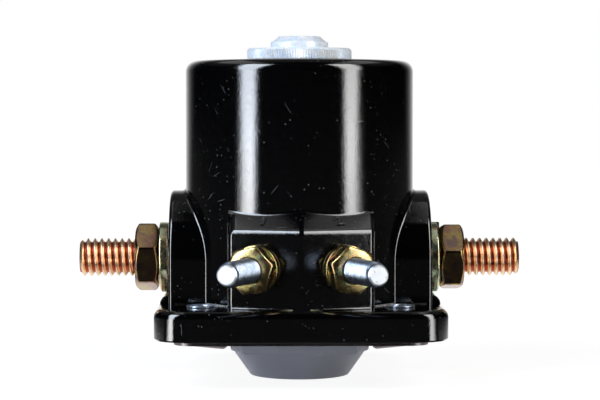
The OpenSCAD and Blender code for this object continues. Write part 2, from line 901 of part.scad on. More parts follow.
housing();
bottom_gasket();
bottom_cover();
bottom_dome();
hollow_rivets();
left_main_stud();
right_main_stud();
left_main_nut();
right_main_nut();
left_lock_washer();
right_lock_washer();
left_control_stud();
right_control_stud();
left_control_nut();
right_control_nut();
left_control_washer();
right_control_washer();
top_washer();
fixed_core();
flux_cup();
pole_plate();
coil_bobbin();
coil_winding();
coil_leads();
plunger();
plunger_stem();
stem_clip();
contact_disc();
disc_bush();
contact_spring();
return_spring();
sense_finger();
ground_strip();
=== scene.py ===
# Starter relay, dressed: moulded housing, threaded studs, nuts, washers and the parts inside.
# Sizes in the dictionaries are millimetres; Blender gets metres.
from math import acos, atan2, ceil, cos, pi, radians, sin, sqrt, tan

import bmesh
import bpy
from mathutils import Matrix, Vector


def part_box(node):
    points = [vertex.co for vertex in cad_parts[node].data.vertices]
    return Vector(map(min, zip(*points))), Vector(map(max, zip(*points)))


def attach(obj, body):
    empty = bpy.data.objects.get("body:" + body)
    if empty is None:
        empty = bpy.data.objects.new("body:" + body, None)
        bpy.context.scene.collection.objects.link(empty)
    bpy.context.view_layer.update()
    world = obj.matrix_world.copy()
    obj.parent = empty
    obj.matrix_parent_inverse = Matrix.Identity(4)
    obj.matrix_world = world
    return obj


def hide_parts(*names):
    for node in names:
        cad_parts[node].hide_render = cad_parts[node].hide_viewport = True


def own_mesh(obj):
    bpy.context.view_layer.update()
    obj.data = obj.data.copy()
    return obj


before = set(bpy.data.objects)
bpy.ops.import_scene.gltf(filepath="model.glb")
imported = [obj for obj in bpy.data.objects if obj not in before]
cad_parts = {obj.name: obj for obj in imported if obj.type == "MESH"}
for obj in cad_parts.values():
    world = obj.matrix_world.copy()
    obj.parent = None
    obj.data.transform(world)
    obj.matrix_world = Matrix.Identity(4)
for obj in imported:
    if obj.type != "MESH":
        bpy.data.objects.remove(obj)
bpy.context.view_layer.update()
mm = 0.001
scene = bpy.context.scene

def nodeBox(name):
    low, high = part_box(name)
    return low / mm, high / mm

# Places taken from the frame
canTop = nodeBox("top_washer")[0].z
flangeZ = nodeBox("housing")[0].z
flangeX = nodeBox("housing")[1].x
mainZ = (nodeBox("left_main_nut")[0].z + nodeBox("left_main_nut")[1].z) / 2
smallZ = (nodeBox("left_control_nut")[0].z + nodeBox("left_control_nut")[1].z) / 2
earX = nodeBox("right_lock_washer")[0].x
nutX = nodeBox("right_main_nut")[0].x
mainTip = nodeBox("right_main_stud")[1].x

print("frame loaded: can top", round(canTop, 2), "main axis", round(mainZ, 2), "small axis", round(smallZ, 2))

# Mesh tools
def linked(name, data):
    made = bpy.data.objects.new(name, data)
    scene.collection.objects.link(made)
    return made

def meshObject(name, points, faces):
    mesh = bpy.data.meshes.new(name)
    mesh.from_pydata([(x * mm, y * mm, z * mm) for x, y, z in points], [], faces)
    return linked(name, mesh)

def clean(obj, merge=0.0008):
    # welds points that coincide and turns the faces outwards
    work = bmesh.new()
    work.from_mesh(obj.data)
    bmesh.ops.remove_doubles(work, verts=work.verts, dist=merge * mm)
    bmesh.ops.dissolve_degenerate(work, dist=merge * mm * 0.5, edges=work.edges)
    bmesh.ops.recalc_face_normals(work, faces=work.faces)
    work.to_mesh(obj.data)
    work.free()
    return obj

def loft(name, loops, ring=False):
    # skins equal loops of points one after another; ring joins the last one to the first
    count = len(loops[0])
    points = [p for loop in loops for p in loop]
    pairs = [(k, k + 1) for k in range(len(loops) - 1)]
    if ring:
        pairs.append((len(loops) - 1, 0))
    faces = []
    for a, b in pairs:
        for j in range(count):
            n = (j + 1) % count
            faces.append((a * count + j, a * count + n, b * count + n, b * count + j))
    if not ring:
        faces.append(tuple(reversed(range(count))))
        faces.append(tuple(range((len(loops) - 1) * count, len(loops) * count)))
    return clean(meshObject(name, points, faces))

def circle(r, z, steps):
    return [(r * cos(2 * pi * i / steps), r * sin(2 * pi * i / steps), z) for i in range(steps)]

def lathe(name, profile, steps=128, ring=False):
    return loft(name, [circle(r, z, steps) for r, z in profile], ring)

def arc(x, y, r, start, end, steps):
    # points round (x, y); start and end in degrees
    span = [start + (end - start) * i / steps for i in range(steps + 1)]
    return [(x + r * cos(radians(a)), y + r * sin(radians(a))) for a in span]

def roundCorners(corners, r, steps=5):
    # a closed outline with every corner turned into an arc of radius r
    made = []
    count = len(corners)
    for i in range(count):
        here = Vector(corners[i])
        back = (Vector(corners[i - 1]) - here).normalized()
        ahead = (Vector(corners[(i + 1) % count]) - here).normalized()
        half = acos(max(-1, min(1, back.dot(ahead)))) / 2
        reach = r / tan(half)
        start = here + back * reach
        end = here + ahead * reach
        centre = here + (back + ahead).normalized() * (r / sin(half))
        first = atan2(start.y - centre.y, start.x - centre.x)
        turn = atan2(end.y - centre.y, end.x - centre.x) - first
        turn = (turn + pi) % (2 * pi) - pi
        made += [
            (centre.x + r * cos(first + turn * k / steps), centre.y + r * sin(first + turn * k / steps))
            for k in range(steps + 1)
        ]
    return made

def boxCorners(w, d):
    return [(-w / 2, -d / 2), (w / 2, -d / 2), (w / 2, d / 2), (-w / 2, d / 2)]

def prism(name, outline, low, high):
    return loft(name, [[(x, y, z) for x, y in outline] for z in (low, high)])

def bakedMesh(obj):
    bpy.context.view_layer.update()
    shape = obj.evaluated_get(bpy.context.evaluated_depsgraph_get())
    return bpy.data.meshes.new_from_object(shape)

def applied(obj):
    # bakes the modifiers of an object into its mesh
    mesh = bakedMesh(obj)
    obj.modifiers.clear()
    obj.data = mesh
    return obj

def combine(obj, tools, operation="UNION"):
    for tool in tools:
        cut = obj.modifiers.new("cut", "BOOLEAN")
        cut.operation = operation
        cut.solver = "MANIFOLD"
        cut.object = tool
        applied(obj)
        bpy.data.objects.remove(tool)
    return obj

def bevelled(obj, width, segments):
    made = obj.modifiers.new("edge", "BEVEL")
    made.width = width * mm
    made.segments = segments
    made.limit_method = "ANGLE"
    made.angle_limit = radians(25)
    return applied(obj)

def smooth(obj, angle, weighted=True):
    # edges sharper than angle stay sharp; weighted keeps big faces flat beside their bevels
    obj.data.shade_smooth()
    obj.data.set_sharp_from_angle(angle=radians(angle))
    if weighted:
        made = obj.modifiers.new("normals", "WEIGHTED_NORMAL")
        made.keep_sharp = True
        made.weight = 80
    return obj

def moved(obj, matrix):
    # moves the points themselves
    obj.data.transform(matrix)
    return obj

def outwards(distance):
    return Matrix.Translation((0, 0, distance * mm))

def mainAxis(side):
    # Z runs outwards along a main stud
    return Matrix.Translation((0, 0, mainZ * mm)) @ Matrix.Rotation(side * pi / 2, 4, "Y")

def smallAxis(side):
    # Z runs outwards along a control stud, 0 on the boss's face, Y is up
    along = (boss["width"] / 2 - controlStud["edge"]) / cos(splay)
    x = side * along * cos(splay)
    y = -boss["ridge"] + along * sin(splay)
    turn = Matrix.Rotation(side * splay, 4, "Z") @ Matrix.Rotation(pi / 2, 4, "X")
    return Matrix.Translation((x * mm, y * mm, smallZ * mm)) @ turn

def dress(obj, material):
    obj.data.materials.clear()
    obj.data.materials.append(material)

def finishPiece(obj, material, slot, *replaced, body="base"):
    dress(obj, material)
    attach(obj, body)
    if replaced:
        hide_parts(*replaced)
    return obj

# Material tools
def plug(tree, node, sockets):
    # gives a node's sockets their links or values
    for key, value in sockets.items():
        if isinstance(value, bpy.types.NodeSocket):
            tree.links.new(value, node.inputs[key])
        else:
            node.inputs[key].default_value = value
    return node

def add(tree, kind, sockets=None, **settings):
    made = tree.nodes.new("ShaderNode" + kind)
    for key, value in settings.items():
        setattr(made, key, value)
    return plug(tree, made, sockets or {})

def maths(tree, operation, *values):
    return add(tree, "Math", dict(enumerate(values)), operation=operation).outputs[0]

def vectors(tree, operation, *values):
    # a length or a dot product comes out of the second socket
    made = add(tree, "VectorMath", dict(enumerate(values)), operation=operation)
    return made.outputs[int(operation in ("LENGTH", "DOT_PRODUCT"))]

def axesOf(tree, vector):
    return add(tree, "SeparateXYZ", {0: vector}).outputs

def objectPlace(tree):
    return add(tree, "TexCoord").outputs["Object"]

def startMaterial(name):
    made = bpy.data.materials.new(name)
    made.use_nodes = True
    tree = made.node_tree
    tree.nodes.clear()
    shader = add(tree, "BsdfPrincipled")
    add(tree, "OutputMaterial", {"Surface": shader.outputs[0]})
    return made, tree, shader, objectPlace(tree)

def grain(tree, place, size, detail=3, rough=0.5, twist=0):
    # noise whose features are about size millimetres across
    return add(tree, "TexNoise", {
        "Vector": place, "Scale": 1 / (size * mm), "Detail": detail, "Roughness": rough, "Distortion": twist
    }).outputs["Fac"]

def stretch(tree, value, low, high, start=0.0, end=1.0):
    # low to high becomes start to end, and stays there beyond them
    return add(tree, "MapRange", {0: value, 1: low, 2: high, 3: start, 4: end}).outputs[0]

def blendColours(tree, amount, *colours):
    first, second = (c if isinstance(c, bpy.types.NodeSocket) else (*c, 1) for c in colours)
    return add(tree, "Mix", {0: amount, 6: first, 7: second}, data_type="RGBA").outputs[2]

def bumps(tree, shader, layers):
    # stacks bump layers; each is a height, a depth in millimetres and a strength
    normal = None
    for height, depth, strength in layers:
        sockets = {"Height": height, "Distance": depth * mm, "Strength": strength}
        if normal:
            sockets["Normal"] = normal
        normal = add(tree, "Bump", sockets).outputs[0]
    plug(tree, shader, {"Normal": normal, "Coat Normal": normal})

# Finishes: skin is the clear gloss over the moulding, specks and patches are ranges of their noises
moulding = {"colour": (0.0012, 0.0012, 0.0014), "dust": (0.2, 0.2, 0.21), "marks": 0.6, "rough": (0.06, 0.11),
            "shine": 0.3, "skin": 1.0, "skinRough": 0.05, "skinIor": 1.58, "grain": 0.3,
            "specks": (0.155, 0.065), "patches": (0.48, 0.6),
            "cell": 5.0, "scratch": 0.03, "reach": 1.3, "share": 0.62}
# the dome's colour is lighter than its dark grey plastic: painted light standing in for the floor's bounce
domeMoulding = dict(moulding, colour=(0.42, 0.425, 0.48), dust=(0.3, 0.3, 0.32), marks=0.36,
                    rough=(0.5, 0.62), shine=0.5, skin=0.0, skinRough=0.1, skinIor=1.5, grain=0.4)

def scratchMask(tree, place, look, turn):
    # one short straight scratch in some of the cells of a sparse pattern, each in its own direction
    turned = add(tree, "Mapping", {"Vector": place, "Rotation": (turn, 0.7 * turn, 0)}).outputs[0]
    cells = add(tree, "TexVoronoi", {"Vector": turned, "Scale": 1 / (look["cell"] * mm)})
    tint = cells.outputs["Color"]
    away = vectors(tree, "SUBTRACT", turned, cells.outputs["Position"])
    way = vectors(tree, "NORMALIZE", vectors(tree, "SUBTRACT", tint, (0.5, 0.5, 0.5)))
    off = maths(tree, "ABSOLUTE", vectors(tree, "DOT_PRODUCT", away, way))
    line = stretch(tree, off, look["scratch"] * mm, look["scratch"] * mm * 0.4)
    inside = stretch(tree, vectors(tree, "LENGTH", away), look["reach"] * mm, look["reach"] * mm * 0.6)
    chance = add(tree, "SeparateColor", {0: tint}).outputs[1]
    chosen = stretch(tree, chance, look["share"], look["share"] + 0.05)
    return maths(tree, "MULTIPLY", maths(tree, "MULTIPLY", line, inside), chosen)

def mouldedSkin(name, look):
    made, tree, shader, place = startMaterial(name)
    # dust specks: the middles of small cells, in patches
    cells = add(tree, "TexVoronoi", {"Vector": place, "Scale": 900.0}).outputs["Distance"]
    specks = stretch(tree, cells, *look["specks"])
    patches = stretch(tree, grain(tree, place, 6), *look["patches"])
    dust = maths(tree, "MULTIPLY", specks, patches)
    scratches = maths(tree, "MAXIMUM", *(scratchMask(tree, place, look, turn) for turn in (0.0, 1.1)))
    amount = maths(tree, "MULTIPLY", maths(tree, "MAXIMUM", dust, scratches), look["marks"])
    colour = blendColours(tree, amount, look["colour"], look["dust"])
    rough = stretch(tree, grain(tree, place, 3.5, 4, 0.6), 0.35, 0.7, *look["rough"])
    plug(tree, shader, {"Base Color": colour, "Roughness": rough, "IOR": 1.55,
                        "Specular IOR Level": look["shine"], "Coat Weight": look["skin"],
                        "Coat Roughness": look["skinRough"], "Coat IOR": look["skinIor"]})
    bumps(tree, shader, [
        (grain(tree, place, 1.3), 0.02, 0.6),
        (grain(tree, place, look["grain"], 3, 0.65), 0.015, 0.8),
        (scratches, 0.01, 0.4),
    ])
    return made

def platedMetal(name, first, second, rough, patch, mottle, third=None, metal=1.0):
    # plated steel: two tints in soft patches, fine mottling, and a faint skin of dents
    made, tree, shader, place = startMaterial(name)
    tint = stretch(tree, grain(tree, place, patch, 3, 0.6), 0.38, 0.62)
    colour = blendColours(tree, tint, first, second)
    if third:
        other = stretch(tree, grain(tree, place, patch * 0.6, 2, 0.5, 0.4), 0.5, 0.64)
        colour = blendColours(tree, other, colour, third)
    spots = stretch(tree, grain(tree, place, mottle, 3, 0.7), 0.3, 0.7, 0.72, 1.12)
    scaled = add(tree, "VectorMath", {0: colour, 3: spots}, operation="SCALE").outputs[0]
    gloss = stretch(tree, grain(tree, place, 1.1), 0.3, 0.7, *rough)
    plug(tree, shader, {"Base Color": scaled, "Metallic": metal, "Roughness": gloss})
    bumps(tree, shader, [(grain(tree, place, 0.9), 0.01, 0.4), (grain(tree, place, 0.16, 2), 0.006, 0.5)])
    return made

def tippedZinc(name, start, end):
    # the control studs: darker barrels, white from start to end as a painted highlight on their lit ends,
    # measured along their own direction
    made = platedMetal(name, (0.5, 0.56, 0.66), (0.3, 0.37, 0.48), (0.26, 0.4), 1.6, 0.35)
    tree = made.node_tree
    shader = next(node for node in tree.nodes if node.type == "BSDF_PRINCIPLED")
    part = axesOf(tree, objectPlace(tree))
    ahead = maths(tree, "MULTIPLY", part[1], -cos(splay))
    along = maths(tree, "MULTIPLY_ADD", maths(tree, "ABSOLUTE", part[0]), sin(splay), ahead)
    # painted highlight: the tip turns white and less metallic
    tipHighlight = stretch(tree, along, start * mm, end * mm)
    base = shader.inputs["Base Color"].links[0].from_socket
    plug(tree, shader, {"Base Color": blendColours(tree, tipHighlight, base, (0.8, 0.83, 0.86)),
                        "Metallic": stretch(tree, tipHighlight, 0.0, 1.0, 1.0, 0.55)})
    return made

def threadCopper(name, look):
    # coloured by the distance from the main studs' axis: bright crests as a painted highlight, dark red in
    # the grooves as painted shade
    made, tree, shader, place = startMaterial(name)
    local = vectors(tree, "SUBTRACT", place, (0, 0, mainZ * mm))
    out = vectors(tree, "LENGTH", vectors(tree, "CROSS_PRODUCT", local, (1, 0, 0)))
    height = stretch(tree, out, (mainStud["r"] - mainStud["depth"]) * mm, mainStud["r"] * mm)
    noise = stretch(tree, grain(tree, place, 0.5, 3, 0.7), 0.3, 0.7, -0.14, 0.14)
    ramp = add(tree, "ValToRGB", {0: maths(tree, "ADD", height, noise)})
    ramp.color_ramp.elements[0].position = 0.12
    ramp.color_ramp.elements[0].color = (*look["groove"], 1)
    ramp.color_ramp.elements[1].position = 0.85
    ramp.color_ramp.elements[1].color = (*look["crest"], 1)
    ramp.color_ramp.elements.new(0.45).color = (*look["flank"], 1)
    gloss = stretch(tree, grain(tree, place, 1.5), 0.3, 0.7, *look["rough"])
    plug(tree, shader, {"Base Color": ramp.outputs[0], "Metallic": 1.0, "Roughness": gloss})
    bumps(tree, shader, [(grain(tree, place, 0.3), 0.01, 0.5)])
    return made

def plainSkin(name, colour, other, rough, metallic=0.0, size=1.2, depth=0.01):
    # moulded or rolled surfaces inside: two close tints, cloudy gloss and a fine skin
    made, tree, shader, place = startMaterial(name)
    tint = blendColours(tree, stretch(tree, grain(tree, place, size, 4), 0.35, 0.65), colour, other)
    gloss = stretch(tree, grain(tree, place, size * 0.7), 0.3, 0.7, *rough)
    plug(tree, shader, {"Base Color": tint, "Metallic": metallic, "Roughness": gloss})
    bumps(tree, shader, [(grain(tree, place, 0.25, 2), depth, 0.5)])
    return made

def woundWire(name, colour, other, wire):
    # a layer of enamelled wire: rounded ridges stacked along Z, lighter on their tops as a painted highlight
    # and darker between them as painted shade
    made, tree, shader, place = startMaterial(name)
    wave = add(tree, "TexWave", {"Vector": place, "Scale": pi / (10 * wire * mm), "Distortion": 0.0},
               wave_type="BANDS", bands_direction="Z", wave_profile="SIN").outputs["Fac"]
    tint = blendColours(tree, wave, colour, other)
    plug(tree, shader, {"Base Color": tint, "Metallic": 0.6, "Roughness": 0.28})
    bumps(tree, shader, [(wave, wire * 0.4, 1.0), (grain(tree, place, 0.4, 2), 0.01, 0.4)])
    return made

blackLook = mouldedSkin("blackMoulding", moulding)
domeLook = mouldedSkin("domeMoulding", domeMoulding)
zincLook = platedMetal("brightZinc", (0.62, 0.69, 0.8), (0.42, 0.5, 0.62), (0.3, 0.45), 1.6, 0.35)
capLook = platedMetal("capZinc", (1.0, 1.0, 1.0), (0.72, 0.84, 0.98), (0.28, 0.42), 2.0, 0.5, metal=0.12)
goldLook = platedMetal("goldZinc", (0.66, 0.52, 0.19), (0.52, 0.31, 0.17), (0.2, 0.34), 1.8, 0.4,
                       third=(0.42, 0.47, 0.22))
lockLook = platedMetal("lockZinc", (0.9, 0.83, 0.5), (0.5, 0.66, 0.48), (0.18, 0.3), 5, 0.5,
                       third=(0.85, 0.6, 0.32))
bronzeLook = platedMetal("bronzeZinc", (0.46, 0.34, 0.13), (0.36, 0.2, 0.15), (0.12, 0.2), 3.2, 0.35,
                         third=(0.26, 0.18, 0.15))
sheetLook = platedMetal("sheetZinc", (0.34, 0.3, 0.3), (0.26, 0.23, 0.24), (0.3, 0.45), 6, 0.8)
steelLook = plainSkin("rolledSteel", (0.55, 0.56, 0.58), (0.45, 0.46, 0.48), (0.3, 0.45), 1.0)
springLook = plainSkin("springSteel", (0.6, 0.6, 0.62), (0.5, 0.5, 0.52), (0.25, 0.35), 1.0, 0.5)
copperLook = plainSkin("sheetCopper", (0.85, 0.44, 0.27), (0.72, 0.33, 0.19), (0.28, 0.42), 1.0, 2.0)
nylonLook = plainSkin("nylon", (0.78, 0.75, 0.66), (0.72, 0.69, 0.6), (0.35, 0.5), 0.0, 2.0)
gasketLook = plainSkin("gasketPaper", (0.06, 0.055, 0.06), (0.04, 0.038, 0.042), (0.75, 0.9), 0.0, 0.8, 0.03)
windingLook = woundWire("enamelWire", (0.3, 0.1, 0.04), (0.62, 0.26, 0.1), 0.55)
print("finishes made")

# Housing. splay turns the boss's faces and the control studs to the sides, roof tilts its sloped tops
flange = {"width": 2 * flangeX, "depth": 60.4, "top": 15.9, "cornerR": 6.5, "edgeR": 1.5, "lowEdge": 0.35}
can = {"r": 23.7, "edgeR": 2.3, "boreR": 20.7, "wallTop": 3.0, "neckR": 6.05}
ear = {"archR": 14.0, "root": 14.0, "edgeR": 0.8, "footR": 1.7}
boss = {"width": 29.2, "ridge": 29.7, "height": 15.6, "wall": 3.5, "back": 12.0,
        "sideR": 0.95, "topR": 0.8, "hipR": 1.9, "ridgeR": 0.5}
splay, roof = radians(20), radians(34)
# inner corners: r and deckR are their radii, sink how deep they reach into the walls
corner = {"r": 0.75, "deckR": 0.45, "sink": 0.35, "steps": 5}
# where the corners along the deck start and end
feet = {"tipShare": 0.12, "faceEnd": 0.9, "wallEnd": 1.2, "bossBack": 18.9, "earRoot": 19.3}
rivet = {"place": 20.0, "holeR": 2.15, "wall": 0.4, "rim": 0.3, "rimT": 0.4}
controlStud = {"edge": 5.9, "r": 2.5, "pitch": 0.8, "depth": 0.28, "out": 16.8, "dogR": 2.1, "dogL": 0.9,
               "bevel": 0.4, "headAf": 6.8, "headT": 2.4}
mainStud = {"r": 3.97, "pitch": 1.411, "depth": 0.8, "bevel": 0.75, "seat": 21.0,
            "headIn": 9.5, "headW": 12.0, "headH": 10.0, "cutIn": 0.55, "cutDown": 0.6}
deck = flange["top"]
halfBoss = boss["width"] / 2
bossFront = -boss["ridge"] + halfBoss * tan(splay)
clearance = 0.05
sides = ((-1, "left"), (1, "right"))

def chamferZ(x, y, side):
    # height of a sloped top face of the boss above a point of the plan
    inwards = (y + boss["ridge"]) * cos(splay) - side * x * sin(splay)
    return deck + boss["height"] + inwards * tan(roof)

def flangeSolid():
    layers = [(flangeZ, flange["lowEdge"]), (flangeZ + flange["lowEdge"], 0)]
    e = flange["edgeR"]
    layers += [(z, e - out) for out, z in arc(0, deck - e, e, 0, 90, 8)]
    loops = []
    for z, inset in layers:
        outline = roundCorners(boxCorners(flange["width"] - 2 * inset, flange["depth"] - 2 * inset),
                               flange["cornerR"] - inset, 12)
        loops.append([(x, y, z) for x, y in outline])
    return loft("flangeSolid", loops)

def canSolid():
    r, e, f = can["r"], can["edgeR"], corner["deckR"]
    profile = [(0, deck - 2), (r + f, deck - 2), (r + f, deck)]
    profile += [(r + f - f * cos(radians(a)), deck + f - f * sin(radians(a))) for a in (72, 54, 36, 18, 0)]
    profile += arc(r - e, canTop - e, e, 0, 90, 12) + [(0, canTop)]
    return lathe("canSolid", profile, 256)

def earSolid(side):
    e, r = ear["edgeR"], ear["archR"]
    layers = [(ear["root"], 0)] + [(x, e - out) for x, out in arc(earX - e, 0, e, 90, 0, 7)]
    loops = []
    for x, inset in layers:
        reach = r - inset
        arch = [(-reach * cos(radians(a)), mainZ + reach * sin(radians(a))) for a in range(0, 181, 3)]
        outline = [(-reach, deck - 2)] + arch + [(reach, deck - 2)]
        loops.append([(side * x, y, z) for y, z in outline])
    return loft("earSolid", loops)

def earFoot(side):
    # the rounded foot between an ear's face and the flange
    r = ear["footR"]
    half = ear["archR"] - ear["edgeR"]
    section = [(earX - 1, deck - 1), (earX + r, deck - 1)]
    section += [(earX + x, deck + z) for x, z in arc(0, 0, r, 0, 90, 8)] + [(earX - 1, deck + r)]
    loops = []
    for y, scale in ((-half, 0.9), (-half + 0.3, 1.0), (half - 0.3, 1.0), (half, 0.9)):
        loops.append([(side * (earX + (x - earX) * scale), y, deck + (z - deck) * scale) for x, z in section])
    return loft("earFoot", loops)

def bossSolid():
    plan = [(0, -boss["ridge"]), (halfBoss, bossFront), (halfBoss, -boss["back"]), (0, -boss["back"]),
            (-halfBoss, -boss["back"]), (-halfBoss, bossFront)]
    low = [(x, y, deck - 2) for x, y in plan]
    high = [(x, y, chamferZ(x, y, 1 if x >= 0 else -1)) for x, y in plan]
    faces = [(5, 4, 3, 2, 1, 0), (6, 7, 8, 9), (6, 9, 10, 11)]
    faces += [(i, (i + 1) % 6, 6 + (i + 1) % 6, 6 + i) for i in range(6)]
    made = clean(meshObject("bossSolid", low + high, faces))
    # each edge's radius as a share of the widest one; the back edges stay sharp. The right hip counts as
    # an upright, because Blender lists it from its front end, and has the smaller radius
    weights = made.data.attributes.new("bevel_weight_edge", "FLOAT", "EDGE")
    widest = boss["hipR"]
    for edge in made.data.edges:
        a, b = (made.data.vertices[i].co / mm for i in edge.vertices)
        middle = max(abs(a.x), abs(b.x)) < 0.1
        if abs(a.z - b.z) > 5 and abs(a.x - b.x) < 0.1 and a.y < bossFront + 0.1:
            width = boss["ridgeR"] if middle else boss["sideR"]
        elif min(a.z, b.z) < deck + 5 or min(a.y, b.y) > -boss["back"] - 0.1:
            width = 0.0
        elif min(abs(a.x), abs(b.x)) > halfBoss - 0.1:
            width = boss["hipR"]
        else:
            width = boss["ridgeR"] if middle else boss["topR"]
        weights.data[edge.index].value = width / widest
    bevel = made.modifiers.new("edges", "BEVEL")
    bevel.width = widest * mm
    bevel.segments = 6
    bevel.limit_method = "WEIGHT"
    return applied(made)

def innerCorner(name, stations):
    # rolls a ball along two walls: each station has its centre and the two points it touches
    loops = []
    for centre, a, b in stations:
        c, a, b = Vector(centre), Vector(a), Vector(b)
        u, v = (a - c).normalized(), (b - c).normalized()
        r = (a - c).length
        full = u.angle(v)
        loop = []
        for k in range(corner["steps"] + 1):
            t = k / corner["steps"]
            loop.append(c + (u * sin((1 - t) * full) + v * sin(t * full)) * (r / sin(full)))
        deepA, deepB = a + u * corner["sink"], b + v * corner["sink"]
        loop += [deepB, deepA + deepB - c, deepA]
        loops.append([tuple(p) for p in loop])
    return loft(name, loops)

def bossSideCorner(side):
    # ball between a side of the boss and the can
    r, reach = corner["r"], can["r"] + corner["r"]
    x = halfBoss + r
    y = -sqrt(reach ** 2 - x * x)
    onCan = (side * x * can["r"] / reach, y * can["r"] / reach)
    onBoss = (side * halfBoss, y)
    top = chamferZ(halfBoss, y, 1) - 0.25
    return innerCorner("bossSideCorner", [
        ((side * x, y, z), (*onBoss, z), (*onCan, z)) for z in (deck - 0.5, top - 0.5, top)])

def bossTopCorner(side):
    # ball between a sloped face of the boss and the can
    r, reach = corner["r"], can["r"] + corner["r"]
    up = Vector((side * sin(splay) * sin(roof), -cos(splay) * sin(roof), cos(roof)))
    stations = []
    steps = 24
    for i in range(steps + 1):
        x = side * (halfBoss + 0.1) * i / steps
        y = -sqrt(reach * reach - x * x)
        z = chamferZ(x, y, side) + r / cos(roof)
        centre = Vector((x, y, z))
        stations.append((centre, centre - up * r, (x * can["r"] / reach, y * can["r"] / reach, z)))
    return innerCorner("bossTopCorner", stations)

def earCorner(side):
    # ball between an ear's arch or side and the can, from the front flange over to the back
    r, reach, arch = corner["r"], can["r"] + corner["r"], ear["archR"]
    path = [(-arch, deck - 0.5, 0)]
    path += [(-arch * cos(radians(a)), mainZ + arch * sin(radians(a)), sin(radians(a)))
             for a in range(0, 181, 4)]
    path += [(arch, deck - 0.5, 0)]
    stations = []
    for y, z, lift in path:
        out = Vector((0, y, z - mainZ if lift else 0)).normalized()
        cy, cz = y + out.y * r, z + out.z * r
        x = side * sqrt(reach * reach - cy * cy)
        stations.append(((x, cy, cz), (x, y, z), (x * can["r"] / reach, cy * can["r"] / reach, cz)))
    return innerCorner("earCorner", stations)

def straightCorner(name, start, end, wall):
    # ball between the deck and an upright wall; start and end lie on the wall, wall points outwards
    r = corner["deckR"]
    out = Vector((*wall, 0)).normalized() * r
    stations = []
    for x, y in (start, end):
        centre = Vector((x, y, deck + r)) + out
        stations.append((centre, (x, y, deck + r), centre - Vector((0, 0, r))))
    return innerCorner(name, stations)

def deckCorners():
    made = []
    near = halfBoss * feet["tipShare"]
    for side in (-1, 1):
        start = side * near, -boss["ridge"] + near * tan(splay)
        end = side * (halfBoss - feet["faceEnd"]), bossFront - feet["faceEnd"] * tan(splay)
        made.append(straightCorner("bossFoot", start, end, (side * sin(splay), -cos(splay))))
        made.append(straightCorner("bossSideFoot", (side * halfBoss, bossFront + feet["wallEnd"]),
                                   (side * halfBoss, -feet["bossBack"]), (side, 0)))
        for y in (-1, 1):
            made.append(straightCorner("earSideFoot", (side * (earX - feet["wallEnd"]), y * ear["archR"]),
                                       (side * feet["earRoot"], y * ear["archR"]), (0, y)))
    return made

def rod(name, r, low, high, steps=64):
    return lathe(name, [(0, low), (r, low), (r, high), (0, high)], steps)

def atRivets(maker):
    spots = [(x * rivet["place"] * mm, y * rivet["place"] * mm) for x in (-1, 1) for y in (-1, 1)]
    return [moved(maker(), Matrix.Translation((*spot, 0))) for spot in spots]

def block(name, low, high):
    outline = boxCorners(high[0] - low[0], high[1] - low[1])
    cx, cy = (high[0] + low[0]) / 2, (high[1] + low[1]) / 2
    return prism(name, [(x + cx, y + cy) for x, y in outline], low[2], high[2])

# raised numbers: x is their distance from the ridge line, back that from the front edge
numerals = {"size": 3.4, "depth": 0.26, "edge": 0.12, "x": 7.5, "back": 2.6, "lift": 0.02, "texts": "12"}

def numeral(name, text, side):
    # a small raised number on the boss's sloped top face
    curve = bpy.data.curves.new(name, "FONT")
    curve.body = text
    curve.size = numerals["size"] * mm
    curve.extrude = numerals["depth"] * mm
    curve.bevel_depth = numerals["edge"] * mm
    curve.bevel_resolution = 2
    curve.align_x = curve.align_y = "CENTER"
    outline = linked(name, curve)
    mesh = bakedMesh(outline)
    bpy.data.objects.remove(outline)
    x = side * numerals["x"]
    y = -boss["ridge"] + abs(x) * tan(splay) + numerals["back"]
    turn = Matrix.Rotation(side * splay, 4, "Z") @ Matrix.Rotation(roof, 4, "X")
    z = chamferZ(x, y, side) + numerals["lift"]
    return moved(linked(name, mesh), Matrix.Translation((x * mm, y * mm, z * mm)) @ turn)

def housingPiece():
    body = combine(flangeSolid(), [canSolid(), earSolid(-1), earSolid(1), bossSolid()])
    extras = [earFoot(-1), earFoot(1)]
    for side in (-1, 1):
        extras += [bossSideCorner(side), bossTopCorner(side), earCorner(side)]
    combine(body, extras + deckCorners())
    boreTop = canTop - can["wallTop"]
    cuts = [
        rod("bore", can["boreR"], flangeZ - 1, boreTop, 128),
        rod("neckHole", can["neckR"], boreTop - 1, canTop + 1),
    ]
    # the pocket behind the boss's walls, then the holes of the studs, the heads and the rivets
    wall = boss["wall"]
    half, tip = halfBoss - wall, boss["ridge"] - wall / cos(splay)
    side = -tip + half * tan(splay)
    pocket = [(0, -tip), (half, side), (half, 0), (-half, 0), (-half, side)]
    cuts.append(prism("pocket", pocket, flangeZ - 1, deck + boss["height"] - wall))
    y, z = mainStud["headW"] / 2 + clearance, mainStud["headH"] / 2 + clearance
    for side in (-1, 1):
        cuts.append(moved(rod("mainHole", mainStud["r"] + clearance, 0, earX + 1), mainAxis(side)))
        cuts.append(moved(rod("smallHole", controlStud["r"] + clearance, -wall - 1, 1), smallAxis(side)))
        low, high = sorted((0, side * (mainStud["seat"] + clearance)))
        cuts.append(block("headSeat", (low, -y, mainZ - z), (high, y, mainZ + z)))
    hole = rivet["holeR"] + rivet["wall"] + clearance
    cuts += atRivets(lambda: rod("rivetHole", hole, flangeZ - 1, deck + 1, 48))
    combine(body, cuts, "DIFFERENCE")
    body.name = "housingShell"
    return smooth(clean(body, 0.002), 24)

finishPiece(housingPiece(), blackLook, "black_moulding", "housing")
for (side, word), text in zip(sides, numerals["texts"]):
    finishPiece(smooth(numeral(word + "Numeral", text, side), 40, False), blackLook, "black_moulding")
print("housing made")

